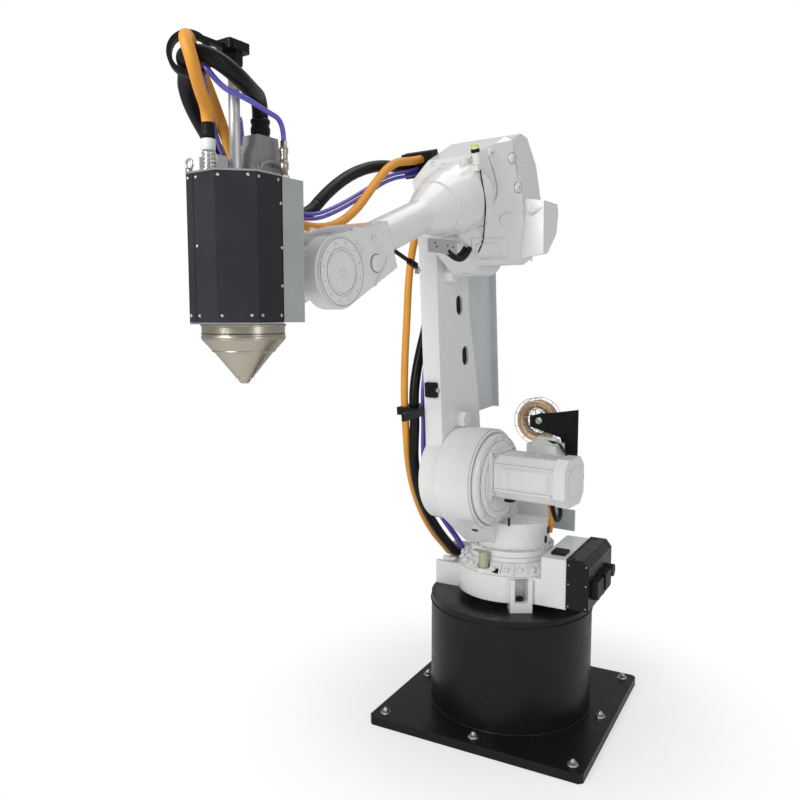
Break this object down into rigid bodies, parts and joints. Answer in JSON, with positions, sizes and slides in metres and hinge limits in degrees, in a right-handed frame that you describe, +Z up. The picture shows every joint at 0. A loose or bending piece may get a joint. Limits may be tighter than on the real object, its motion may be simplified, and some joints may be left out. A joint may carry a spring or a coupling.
{
  "type": "industrial robot arm",
  "caption": "White six-axis industrial robot arm on a black round pedestal, with a faceted deposition head, orange and black hoses and a wire spool.",
  "frame": {"origin": "on the floor under the centre of the round pedestal", "axes": "+Z up along axis 1, X and Y along the edges of the square base plate"},
  "size_m": [0.84, 2.0681, 2.2247],
  "materials": {
    "white_paint": "satin",
    "black_paint": "satin",
    "black_plastic": "matte",
    "grey_paint": "satin",
    "charcoal": "satin",
    "bare_alloy": "satin",
    "nickel": "satin",
    "zinc": "satin",
    "copper_wire": "satin",
    "rubber": "matte",
    "lamp_white": "gloss",
    "grey_connector": "matte"
  },
  "bodies": {
    "base": {"base_plate": "black_paint", "drum": "black_paint", "robot_base": "white_paint", "base_lid": "black_plastic", "connector_box": "black_paint", "box_sockets": "black_plastic", "stop_post": "zinc", "hose_bulkhead": "grey_paint", "hoses_base": "rubber"},
    "turret": {"turret": "white_paint", "shoulder_ring": "white_paint", "shoulder_motor": "white_paint", "shoulder_plug": "black_plastic", "turn_motor": "white_paint", "rear_panel": "grey_paint", "spool_stand": "black_paint", "hoses_shoulder": "rubber"},
    "spool": {"wire_spool": "copper_wire"},
    "lower_arm": {"lower_arm": "white_paint", "arm_plugs": "white_paint", "arm_buffer": "rubber", "arm_guard": "grey_paint", "arm_clamp": "black_paint", "hoses_arm": "rubber", "hoses_elbow": "rubber"},
    "elbow": {"elbow_housing": "white_paint", "elbow_cover": "white_paint", "side_cover": "white_paint", "status_lamp": "lamp_white", "elbow_clamps": "black_plastic", "root_bracket": "zinc", "hoses_forearm": "rubber"},
    "forearm": {"forearm_tube": "white_paint", "wrist_yoke": "white_paint", "yoke_covers": "white_paint", "strut_bracket": "black_paint", "hoses_wrist": "rubber"},
    "wrist": {"wrist_head": "white_paint", "hoses_tool": "rubber"},
    "tool": {"tool_flange": "bare_alloy", "tool_box": "grey_paint", "tool_shell": "charcoal", "tool_plates": "bare_alloy", "nozzle_ring": "nickel", "nozzle_cone": "nickel", "tool_mast": "bare_alloy", "hose_ring": "black_plastic", "top_fittings": "zinc", "power_plug": "grey_connector", "hoses_top": "rubber"}
  },
  "joints": [
    {"name": "axis_1", "type": "hinge", "parent": "base", "child": "turret", "pos_m": [0, 0, 0.66], "axis": [0, 0, 1], "range_deg": [-90, 90], "deforming": ["hoses_base"]},
    {"name": "spool_spin", "type": "hinge", "parent": "turret", "child": "spool", "pos_m": [-0.00087, 0.30192, 1.134], "axis": [-0.1097, -0.994, 0], "continuous": true},
    {"name": "axis_2", "type": "hinge", "parent": "turret", "child": "lower_arm", "pos_m": [-0.0192, -0.17394, 0.965], "axis": [0.994, -0.1097, 0], "range_deg": [-45, 50], "deforming": ["hoses_shoulder"]},
    {"name": "axis_3", "type": "hinge", "parent": "lower_arm", "child": "elbow", "pos_m": [-0.02678, -0.24257, 1.86235], "axis": [-0.994, 0.1097, 0], "range_deg": [-35, 45], "deforming": ["hoses_elbow"]},
    {"name": "axis_4", "type": "hinge", "parent": "elbow", "child": "forearm", "pos_m": [-0.13208, -1.19636, 1.68504], "axis": [-0.1026, -0.9292, -0.3551], "range_deg": [-60, 60], "deforming": ["hoses_forearm"]},
    {"name": "axis_5", "type": "hinge", "parent": "forearm", "child": "wrist", "pos_m": [-0.13208, -1.19636, 1.68504], "axis": [-0.994, 0.1097, 0], "range_deg": [-50, 60], "deforming": ["hoses_wrist"]},
    {"name": "axis_6", "type": "hinge", "parent": "wrist", "child": "tool", "pos_m": [-0.13208, -1.19636, 1.68504], "axis": [-0.1097, -0.994, 0], "range_deg": [-90, 90], "deforming": ["hoses_tool"]}
  ]
}
